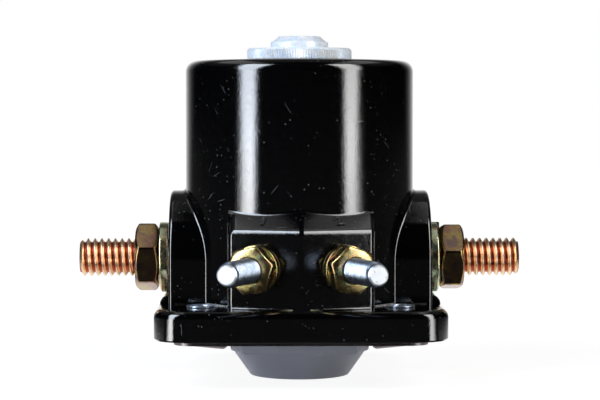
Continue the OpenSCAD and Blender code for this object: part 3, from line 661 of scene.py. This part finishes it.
# Studs. One turn of a thread, in shares of its pitch and of its depth below the crest
knots = [(0.0, 0.03), (0.05, 0.0), (0.1, 0.0), (0.15, 0.03), (0.3, 0.46), (0.44, 0.93), (0.5, 1.0),
         (0.62, 1.0), (0.68, 0.93), (0.84, 0.46)]
noLimit = 99

def threadedBar(name, thread, low, high, limit, steps=72):
    # grid lines follow the helix, so crests and roots stay sharp; limit caps the radius near the ends
    r, pitch, depth = thread["r"], thread["pitch"], thread["depth"]

    def radius(phase):
        phase %= 1.0
        for k in range(len(knots)):
            start, end = knots[k], knots[(k + 1) % len(knots)]
            last = end[0] if k + 1 < len(knots) else 1.0
            if start[0] <= phase <= last:
                part = (phase - start[0]) / (last - start[0])
                return r - depth * (start[1] + (end[1] - start[1]) * part)

    columns = []
    turns = ceil((high - low) / pitch) + 2
    for i in range(steps + 1):
        shift = pitch * i / steps
        column = []
        for turn in range(-1, turns):
            for at, drop in knots:
                raw = low + (turn + at) * pitch + shift
                z = min(high, max(low, raw))
                out = r - depth * drop if z == raw else radius((z - low - shift) / pitch)
                out = min(out, limit(z))
                a = 2 * pi * i / steps
                column.append((out * cos(a), out * sin(a), z))
        columns.append(column)
    count = len(columns[0])
    points = [p for column in columns for p in column] + [(0, 0, low), (0, 0, high)]
    bottom, top = len(points) - 2, len(points) - 1
    faces = []
    for i in range(steps):
        for k in range(count - 1):
            a, b = i * count + k, (i + 1) * count + k
            faces.append((a, b, b + 1, a + 1))
        faces.append((bottom, (i + 1) * count, i * count))
        faces.append((top, i * count + count - 1, (i + 1) * count + count - 1))
    return clean(meshObject(name, points, faces), 0.0015)

def mainLimit(z):
    left = mainTip - z
    return mainStud["r"] - mainStud["bevel"] + left if left < mainStud["bevel"] else noLimit

def contactHead(side):
    # the contact on a main stud's inner end, with a slanted inner top
    seat, inner, half = mainStud["seat"], mainStud["headIn"], mainStud["headH"] / 2
    slope = inner + mainStud["cutIn"] * (seat - inner)
    outline = [(inner, -half), (seat, -half), (seat, half), (slope, half),
               (inner, -half + mainStud["cutDown"] * half)]
    w = mainStud["headW"] / 2
    loops = [[(side * x, y, mainZ + z) for x, z in outline] for y in (-w, w)]
    return bevelled(loft("contactHead", loops), 0.5, 3)

# the crest colour is a painted highlight and the groove colour painted shade
copperStud = {"crest": (1.0, 0.76, 0.55), "flank": (1.0, 0.68, 0.38), "groove": (0.42, 0.07, 0.035),
              "rough": (0.26, 0.4)}

for side, word in sides:
    bar = moved(threadedBar("bar", mainStud, mainStud["seat"] - 1, mainTip, mainLimit), mainAxis(side))
    stud = combine(bar, [contactHead(side)])
    stud.name = word + "MainStud"
    look = threadCopper(word + "StudCopper", copperStud)
    finishPiece(smooth(stud, 38, False), look, "copper", word + "_main_stud")

def controlLimit(z):
    # a bevelled tip, a plain dog and the thread's own bevel
    tip, dogR, bevel = controlStud["out"], controlStud["dogR"], controlStud["bevel"]
    dogStart = tip - bevel - controlStud["dogL"]
    if z > tip - bevel:
        return dogR - bevel + (tip - z)
    if z > dogStart:
        return dogR
    if z > dogStart - bevel:
        return dogR + (dogStart - z)
    return noLimit

def controlStudPiece(word, side):
    wall, r = boss["wall"], controlStud["headAf"] / 2 / cos(pi / 6)
    bar = threadedBar("bar", controlStud, -wall - 0.5, controlStud["out"], controlLimit, 64)
    corners = [(r * cos(pi / 3 * i + pi / 6), r * sin(pi / 3 * i + pi / 6)) for i in range(6)]
    head = bevelled(prism("head", corners, -wall - controlStud["headT"], -wall), 0.25, 2)
    made = moved(combine(bar, [head]), smallAxis(side))
    made.name = word + "ControlStud"
    return smooth(made, 38, False)

tipAt = boss["ridge"] * cos(splay) + controlStud["out"]
tipLook = tippedZinc("studZinc", tipAt - 0.5, tipAt - 0.1)
for side, word in sides:
    finishPiece(controlStudPiece(word, side), tipLook, "bright_zinc", word + "_control_stud")
print("studs made")

# Nuts and washers
def nutPiece(name, size):
    # every section runs from the bore over the bevel's cone to the rounded hexagon and back
    flat, t, hole, lead = size["af"] / 2, size["t"], size["hole"], 0.45
    start, cornerR, edge = flat * size["land"], size["cornerR"], size["edge"]
    steps = 144

    def hexagon(angle):
        # a flat, then an arc of radius cornerR around the corner
        turned = abs((angle + pi / 6) % (pi / 3) - pi / 6)
        middle = (flat - cornerR) / cos(pi / 6)
        off = pi / 6 - turned
        if flat * tan(turned) <= middle * sin(pi / 6):
            return flat / cos(turned)
        return middle * cos(off) + sqrt(cornerR ** 2 - (middle * sin(off)) ** 2)
    slope = tan(radians(30))
    sections = []
    for i in range(steps):
        a = 2 * pi * i / steps
        wide = hexagon(a - radians(size["turn"]))
        drop = max(0.02, (wide - start) * slope)
        half = [(hole + lead, 0.0), (start, 0.0), (wide - edge, drop - edge * slope),
                (wide - edge * 0.3, drop + edge * 0.1), (wide, drop + edge * 0.8)]
        ring = [(hole, lead)] + half + [(r, t - z) for r, z in reversed(half)] + [(hole, t - lead)]
        sections.append([(r * cos(a), r * sin(a), z) for r, z in ring])
    return loft(name, sections, ring=True)

def lockWasher(name, size, split):
    # a rounded flat section along one turn of a helix, cut square at the split
    inner, outer, half = size["inner"], size["outer"], size["t"] / 2
    section = roundCorners(boxCorners(outer - inner, size["t"]), size["edgeR"], 3)
    middle = (outer + inner) / 2
    steps = 96
    loops = []
    for i in range(steps + 1):
        t = i / steps
        a = radians(split) + 2 * pi * size["closed"] * t
        loops.append([((middle + x) * cos(a), (middle + x) * sin(a), half + size["rise"] * t + z)
                      for x, z in section])
    return loft(name, loops)

# af is across the flats, land the flat front's radius as a share of half of it; turns and splits in degrees
mainNut = {"af": 12.7, "t": 4.8, "hole": 3.62, "land": 0.95, "cornerR": 0.6, "edge": 0.28,
           "turns": (18.3, -11.0)}
lockRing = {"inner": 4.09, "outer": 7.3, "t": 1.9, "rise": 0.6, "edgeR": 0.3, "closed": 0.975,
            "splits": (78, 188)}
smallNut = {"af": 8.73, "t": 3.3, "hole": 2.31, "land": 0.93, "cornerR": 0.6, "edge": 0.2,
            "turns": (44, 12.5)}
smallWasher = {"outer": 4.75, "inner": 2.56, "t": 1.6, "edgeR": 0.25}

for k, (side, word) in enumerate(sides):
    nut = moved(nutPiece(word + "MainNut", dict(mainNut, turn=mainNut["turns"][k])),
                mainAxis(side) @ outwards(nutX))
    finishPiece(smooth(nut, 35), bronzeLook, "bronze_zinc", word + "_main_nut")
    ring = moved(lockWasher(word + "LockWasher", lockRing, lockRing["splits"][k]),
                 mainAxis(side) @ outwards(earX))
    finishPiece(smooth(ring, 40), lockLook, "yellow_zinc", word + "_lock_washer")
    small = moved(nutPiece(word + "ControlNut", dict(smallNut, turn=smallNut["turns"][k])),
                  smallAxis(side) @ outwards(smallWasher["t"]))
    finishPiece(smooth(small, 35), goldLook, "yellow_zinc", word + "_control_nut")
    r, inner, t, e = (smallWasher[key] for key in ("outer", "inner", "t", "edgeR"))
    profile = arc(r - e, e, e, -90, 0, 3) + arc(r - e, t - e, e, 0, 90, 3) + [(inner, t), (inner, 0)]
    washer = moved(lathe(word + "ControlWasher", profile, 96, True), smallAxis(side))
    finishPiece(smooth(washer, 40), goldLook, "yellow_zinc", word + "_control_washer")
print("nuts and washers made")

# Cap washer with its serrated rim, and the staked core
cap = {"r": 10.87, "t": 2.6, "inner": 6.05, "bevel": 0.4, "teeth": 124, "tooth": 0.13}
core = {"neckR": 6.0, "neckOut": 1.4, "stakeR": 5.45, "stakeH": 1.1, "endR": 6.5, "pocketR": 3.2,
        "pocketDeep": 6.0, "edgeR": 0.3, "cupT": 2.4}

def capWasher():
    steps = cap["teeth"] * 4
    r, b, t = cap["r"], cap["bevel"], cap["t"]
    profile = [(cap["inner"], 0, 0), (r - b, 0, 0), (r - 0.08, b - 0.05, 1), (r, b, 1), (r, t - b, 1),
               (r - 0.08, t - b + 0.05, 1), (r - b, t, 0), (cap["inner"], t, 0)]
    loops = []
    for out, z, toothed in profile:
        loop = []
        for i in range(steps):
            a = 2 * pi * i / steps
            depth = toothed * cap["tooth"] * (0.5 - 0.5 * cos(cap["teeth"] * a))
            loop.append(((out - depth) * cos(a), (out - depth) * sin(a), canTop + z))
        loops.append(loop)
    return loft("capWasher", loops, ring=True)

def corePiece():
    low, high = nodeBox("fixed_core")
    neckTop = canTop + cap["t"] + core["neckOut"]
    shoulder = canTop - can["wallTop"] - core["cupT"]
    r, e = core["neckR"], core["edgeR"]
    profile = [(0, low.z + core["pocketDeep"]), (core["pocketR"], low.z + core["pocketDeep"]),
               (core["pocketR"], low.z), (core["endR"], low.z), (core["endR"], shoulder), (r, shoulder)]
    profile += arc(r - e, neckTop - e, e, 0, 90, 4)
    top = high.z
    stake = core["stakeR"]
    profile += [(stake + 0.12, neckTop), (stake, neckTop + 0.1)]
    profile += arc(stake - core["stakeH"] - 0.15, top - 0.2, 0.2, 45, 90, 3) + [(0, top)]
    return lathe("coreEnd", profile, 128)

finishPiece(smooth(capWasher(), 30), capLook, "bright_zinc", "top_washer")
finishPiece(smooth(corePiece(), 30), capLook, "bright_zinc", "fixed_core")
print("cap made")

# Dome with its twelve-sided collar
dome = {"collarW": 28.7, "facetW": 9.0, "z": 5.3, "top": 9.3, "footR": 10.5, "topR": 14.0, "wall": 1.6,
        "edgeR": 0.6, "cornerR": 0.5, "slant": 20, "footEdge": 0.45}

def collarCorners(margin):
    a, f, slant = dome["collarW"] / 2 + margin, dome["facetW"] / 2, tan(radians(dome["slant"]))
    d = (a + f * slant) / (1 + slant)
    return [(-f, -a), (f, -a), (d, -d), (a, -f), (a, f), (d, d), (f, a), (-f, a), (-d, d), (-a, f), (-a, -f),
            (-d, -d)]

def domePiece():
    e = dome["edgeR"]
    layers = [(z, out - e) for out, z in arc(0, dome["z"] + e, e, -80, 0, 8)] + [(dome["top"], 0)]
    loops = []
    for z, margin in layers:
        loops.append([(x, y, z) for x, y in roundCorners(collarCorners(margin), dome["cornerR"], 4)])
    made = loft("domeShell", loops)
    foot, top, b = dome["footR"], dome["topR"], dome["footEdge"]
    profile = [(0, 0)] + arc(foot - b, b, b, -90, -20, 5) + [
        (top - 0.35, dome["z"] - 0.5), (top - 0.1, dome["z"] + 0.1), (top - 0.1, dome["z"] + 1),
        (0, dome["z"] + 1)]
    combine(made, [lathe("cone", profile, 160)])
    wall = dome["wall"]
    hollow = [(0, wall), (foot - wall, wall), (top - wall, dome["z"]), (top - wall, dome["top"] + 1),
              (0, dome["top"] + 1)]
    combine(made, [lathe("hollow", hollow, 96)], "DIFFERENCE")
    return smooth(made, 30)

finishPiece(domePiece(), domeLook, "dome_moulding", "bottom_dome")

# Rolled rivets
def rivetPiece():
    low, high = nodeBox("hollow_rivets")
    hole, out, rim, t = rivet["holeR"], rivet["holeR"] + rivet["wall"], rivet["rim"], rivet["rimT"]
    wide = out + rim
    profile = arc(wide - t / 2, low.z + t / 2, t / 2, 90, -90, 6)
    profile += arc(hole + t, low.z + t, t, -90, -180, 5)
    profile += arc(hole + t, high.z - t, t, 180, 90, 5)
    profile += arc(wide - t / 2, high.z - t / 2, t / 2, 90, -90, 6)
    profile += [(out, high.z - t), (out, low.z + t)]
    parts = atRivets(lambda: lathe("rivet", profile, 64, True))
    return combine(parts[0], parts[1:])

eyelets = rivetPiece()
eyelets.name = "rolledRivets"
finishPiece(smooth(eyelets, 35), zincLook, "bright_zinc", "hollow_rivets")
print("dome and rivets made")

# Springs: round wire with closed end coils
coils = {
    "return_spring": {"wire": 0.8, "turns": 8.0, "body": "base", "joint": "armature_slide", "travel": 2.4,
                      "heldAtTop": True},
    "contact_spring": {"wire": 0.8, "turns": 5.0, "body": "armature", "joint": "contact_slide", "travel": 0.8,
                       "heldAtTop": False},
}

def springPiece(node, look):
    low, high = nodeBox(node)
    wire, turns = look["wire"], look["turns"]
    middle = high.x - wire / 2
    start, end = low.z + wire / 2, high.z - wire / 2
    closed = 1.05 * wire
    loops = []
    steps = round(turns * 40)
    for i in range(steps + 1):
        turn = turns * i / steps
        # one closed coil at each end, an even pitch between them
        if turn < 1:
            z = start + closed * turn * 0.98
        elif turn > turns - 1:
            z = end - closed * (turns - turn) * 0.98
        else:
            z = start + closed + (end - start - 2 * closed) * (turn - 1) / (turns - 2)
        a = 2 * pi * turn
        loops.append([((middle + wire / 2 * cos(b)) * cos(a), (middle + wire / 2 * cos(b)) * sin(a),
                       z + wire / 2 * sin(b)) for b in (2 * pi * k / 12 for k in range(12))])
    name = node.split("_")[0] + "Spring"
    made = finishPiece(smooth(loft(name, loops), 40, False), springLook, "steel", node, body=look["body"])
    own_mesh(made)

for node, look in coils.items():
    springPiece(node, look)
print("springs made")

# Parts that stay as the frame has them, with their finishes
dressed = {
    "bottom_gasket": gasketLook, "bottom_cover": sheetLook, "flux_cup": steelLook, "pole_plate": steelLook,
    "coil_bobbin": nylonLook, "coil_winding": windingLook, "coil_leads": copperLook, "plunger": steelLook,
    "plunger_stem": zincLook, "stem_clip": springLook, "contact_disc": copperLook, "disc_bush": nylonLook,
    "sense_finger": copperLook, "ground_strip": copperLook,
}
for name, look in dressed.items():
    dress(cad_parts[name], look)
print("inner parts dressed")

# Camera: millimetres and pixels; level is the picture's row at its own height, axis the relay's column
view = {"distance": 430.0, "height": 55.7, "focal": 2058.0, "width": 600, "middle": 200, "level": 107.6,
        "sensor": 36.0, "around": 0.85, "axis": 299.4}
# Studio: metres, and shares of unit directions from the relay
studio = {"floor": 2.4, "glow": (0.08, 0.5, 0.9, 1.0), "near": (0.07, 0.16), "front": -0.014, "fan": 3.0,
          "back": 0.6, "dim": 0.03, "over": 0.06, "overFrom": (-0.14, 0.02), "overHigh": (0.45, 0.7),
          "lamp": 1.6, "lampInner": (0.71, 0.73), "lampOuter": (0.9, 0.82), "lampFar": (0.06, 0.1)}
# A lamp leans over the relay: its inner edge runs from low to high, its width lies outwards from there
lamps = {
    "left": {"low": (-0.422, -0.427, 0.0), "high": (-0.135, -0.17, 0.345), "width": 0.16, "radiance": 9.5,
             "colour": (0.8, 0.88, 1.0)},
    "right": {"low": (0.422, -0.427, 0.0), "high": (0.135, -0.17, 0.345), "width": 0.145, "radiance": 6.2,
              "colour": (1.0, 1.0, 0.99)},
}
# Two small lids over the main nuts and studs, in millimetres, for glossy rays only
lids = {"height": 130.0, "wide": 34.0, "long": 90.0, "radiance": 0.5, "spots": ((-50.0, -7.0), (50.0, -14.0))}

def backLevel(tree, way):
    # how bright the white backdrop shows in glossy parts, from a unit direction
    return maths(tree, "POWER", stretch(tree, way, studio["back"], 1.0), 3.0)

def floorShine(tree, place, reach):
    # what glossy parts see of the floor: white close by, but dark in a fan towards the camera
    way = axesOf(tree, vectors(tree, "NORMALIZE", place))
    side = maths(tree, "ABSOLUTE", way[0])
    near = stretch(tree, reach, *studio["near"], 1.0, 0.0)
    fan = stretch(tree, maths(tree, "MULTIPLY_ADD", way[1], studio["fan"], side), 0.0, 0.1)
    beside = maths(tree, "MAXIMUM", fan, stretch(tree, axesOf(tree, place)[1], studio["front"], 0.0))
    white = maths(tree, "MAXIMUM", maths(tree, "MULTIPLY", near, beside), backLevel(tree, way[1]))
    # the two lamps mirrored in it
    inner = stretch(tree, side, *studio["lampInner"])
    share = maths(tree, "MULTIPLY", inner, stretch(tree, side, *studio["lampOuter"]))
    share = maths(tree, "MULTIPLY", share, stretch(tree, way[1], 0.0, -0.1))
    share = maths(tree, "MULTIPLY", share, stretch(tree, reach, *studio["lampFar"]))
    level = stretch(tree, way[0], -0.1, 0.1, lamps["left"]["radiance"], lamps["right"]["radiance"])
    shown = maths(tree, "MULTIPLY", share, level)
    return maths(tree, "MAXIMUM", maths(tree, "MAXIMUM", white, studio["dim"]), shown)

def floorPiece():
    size = studio["floor"]
    mesh = bpy.data.meshes.new("floor")
    corners = [(-size, -size, 0), (size, -size, 0), (size, size, 0), (-size, size, 0)]
    mesh.from_pydata(corners, [], [(0, 1, 2, 3)])
    made = linked("floor", mesh)
    look = bpy.data.materials.new("whitePaper")
    look.use_nodes = True
    tree = look.node_tree
    tree.nodes.clear()
    path = add(tree, "LightPath")
    place = objectPlace(tree)
    reach = vectors(tree, "LENGTH", place)
    paper = add(tree, "BsdfDiffuse", {"Color": (0.8, 0.8, 0.8, 1)})
    shaded = add(tree, "BsdfDiffuse", {"Color": (0.2, 0.2, 0.2, 1)})
    glow = add(tree, "Emission", {"Color": (1, 1, 1, 1), "Strength": stretch(tree, reach, *studio["glow"])})
    seen = add(tree, "AddShader", {0: shaded.outputs[0], 1: glow.outputs[0]})
    shine = add(tree, "Emission", {"Color": (1, 1, 1, 1), "Strength": floorShine(tree, place, reach)})
    lit = add(tree, "MixShader", {0: path.outputs["Is Glossy Ray"], 1: paper.outputs[0], 2: shine.outputs[0]})
    final = add(tree, "MixShader", {0: path.outputs["Is Camera Ray"], 1: lit.outputs[0], 2: seen.outputs[0]})
    add(tree, "OutputMaterial", {0: final.outputs[0]})
    made.data.materials.append(look)

def surroundings():
    world = bpy.data.worlds.new("studio")
    scene.world = world
    world.use_nodes = True
    tree = world.node_tree
    tree.nodes.clear()
    path = add(tree, "LightPath")
    part = axesOf(tree, add(tree, "TexCoord").outputs["Generated"])
    over = stretch(tree, part[1], *studio["overFrom"], 0.0, studio["over"])
    over = maths(tree, "MULTIPLY", over, stretch(tree, part[2], *studio["overHigh"]))
    level = maths(tree, "MAXIMUM", backLevel(tree, part[1]), over)
    room = add(tree, "Background", {"Color": (1, 1, 1, 1), "Strength": level})
    white = add(tree, "Background", {"Color": (1, 1, 1, 1), "Strength": 1.0})
    mix = add(tree, "MixShader", {0: path.outputs["Is Camera Ray"], 1: room.outputs[0], 2: white.outputs[0]})
    add(tree, "OutputWorld", {0: mix.outputs[0]})

def areaLight(name, wide, tall, radiance):
    lamp = bpy.data.lights.new(name, "AREA")
    lamp.shape = "RECTANGLE"
    lamp.size, lamp.size_y = wide, tall
    lamp.energy = radiance * pi * wide * tall
    return linked(name, lamp)

def softbox(name, look):
    low, high = Vector(look["low"]) * studio["lamp"], Vector(look["high"]) * studio["lamp"]
    wide = look["width"] * studio["lamp"]
    along = (high - low).normalized()
    out = low.cross(high).normalized()
    if out.x * low.x < 0:
        out = -out
    made = areaLight(name + "Softbox", wide, (high - low).length, look["radiance"])
    made.data.color = look["colour"]
    made.location = (low + high) / 2 + out * wide / 2
    away = out.cross(along)
    if away.dot(made.location) < 0:
        out, away = -out, -away
    made.rotation_euler = Matrix((out, along, away)).transposed().to_euler()

def lidPiece(name, spot):
    made = areaLight(name, lids["wide"] * mm, lids["long"] * mm, lids["radiance"])
    made.location = (spot[0] * mm, spot[1] * mm, lids["height"] * mm)
    made.visible_diffuse = False

def cameraPiece():
    data = bpy.data.cameras.new("camera")
    data.sensor_width = view["sensor"]
    data.lens = view["focal"] * view["sensor"] / view["width"]
    data.clip_start, data.clip_end = 0.01, 20
    made = linked("camera", data)
    down = atan2(view["middle"] - view["level"], view["focal"])
    around = radians(view["around"])
    aside = atan2(view["axis"] - view["width"] / 2, view["focal"])
    made.location = (-view["distance"] * mm * sin(around), -view["distance"] * mm * cos(around),
                     view["height"] * mm)
    made.rotation_euler = (pi / 2 - down, 0, aside - around)
    scene.camera = made

floorPiece()
surroundings()
for name, look in lamps.items():
    softbox(name, look)
for (side, word), spot in zip(sides, lids["spots"]):
    lidPiece(word + "Lid", spot)
cameraPiece()
scene.view_settings.view_transform = "Standard"
print("studio made")
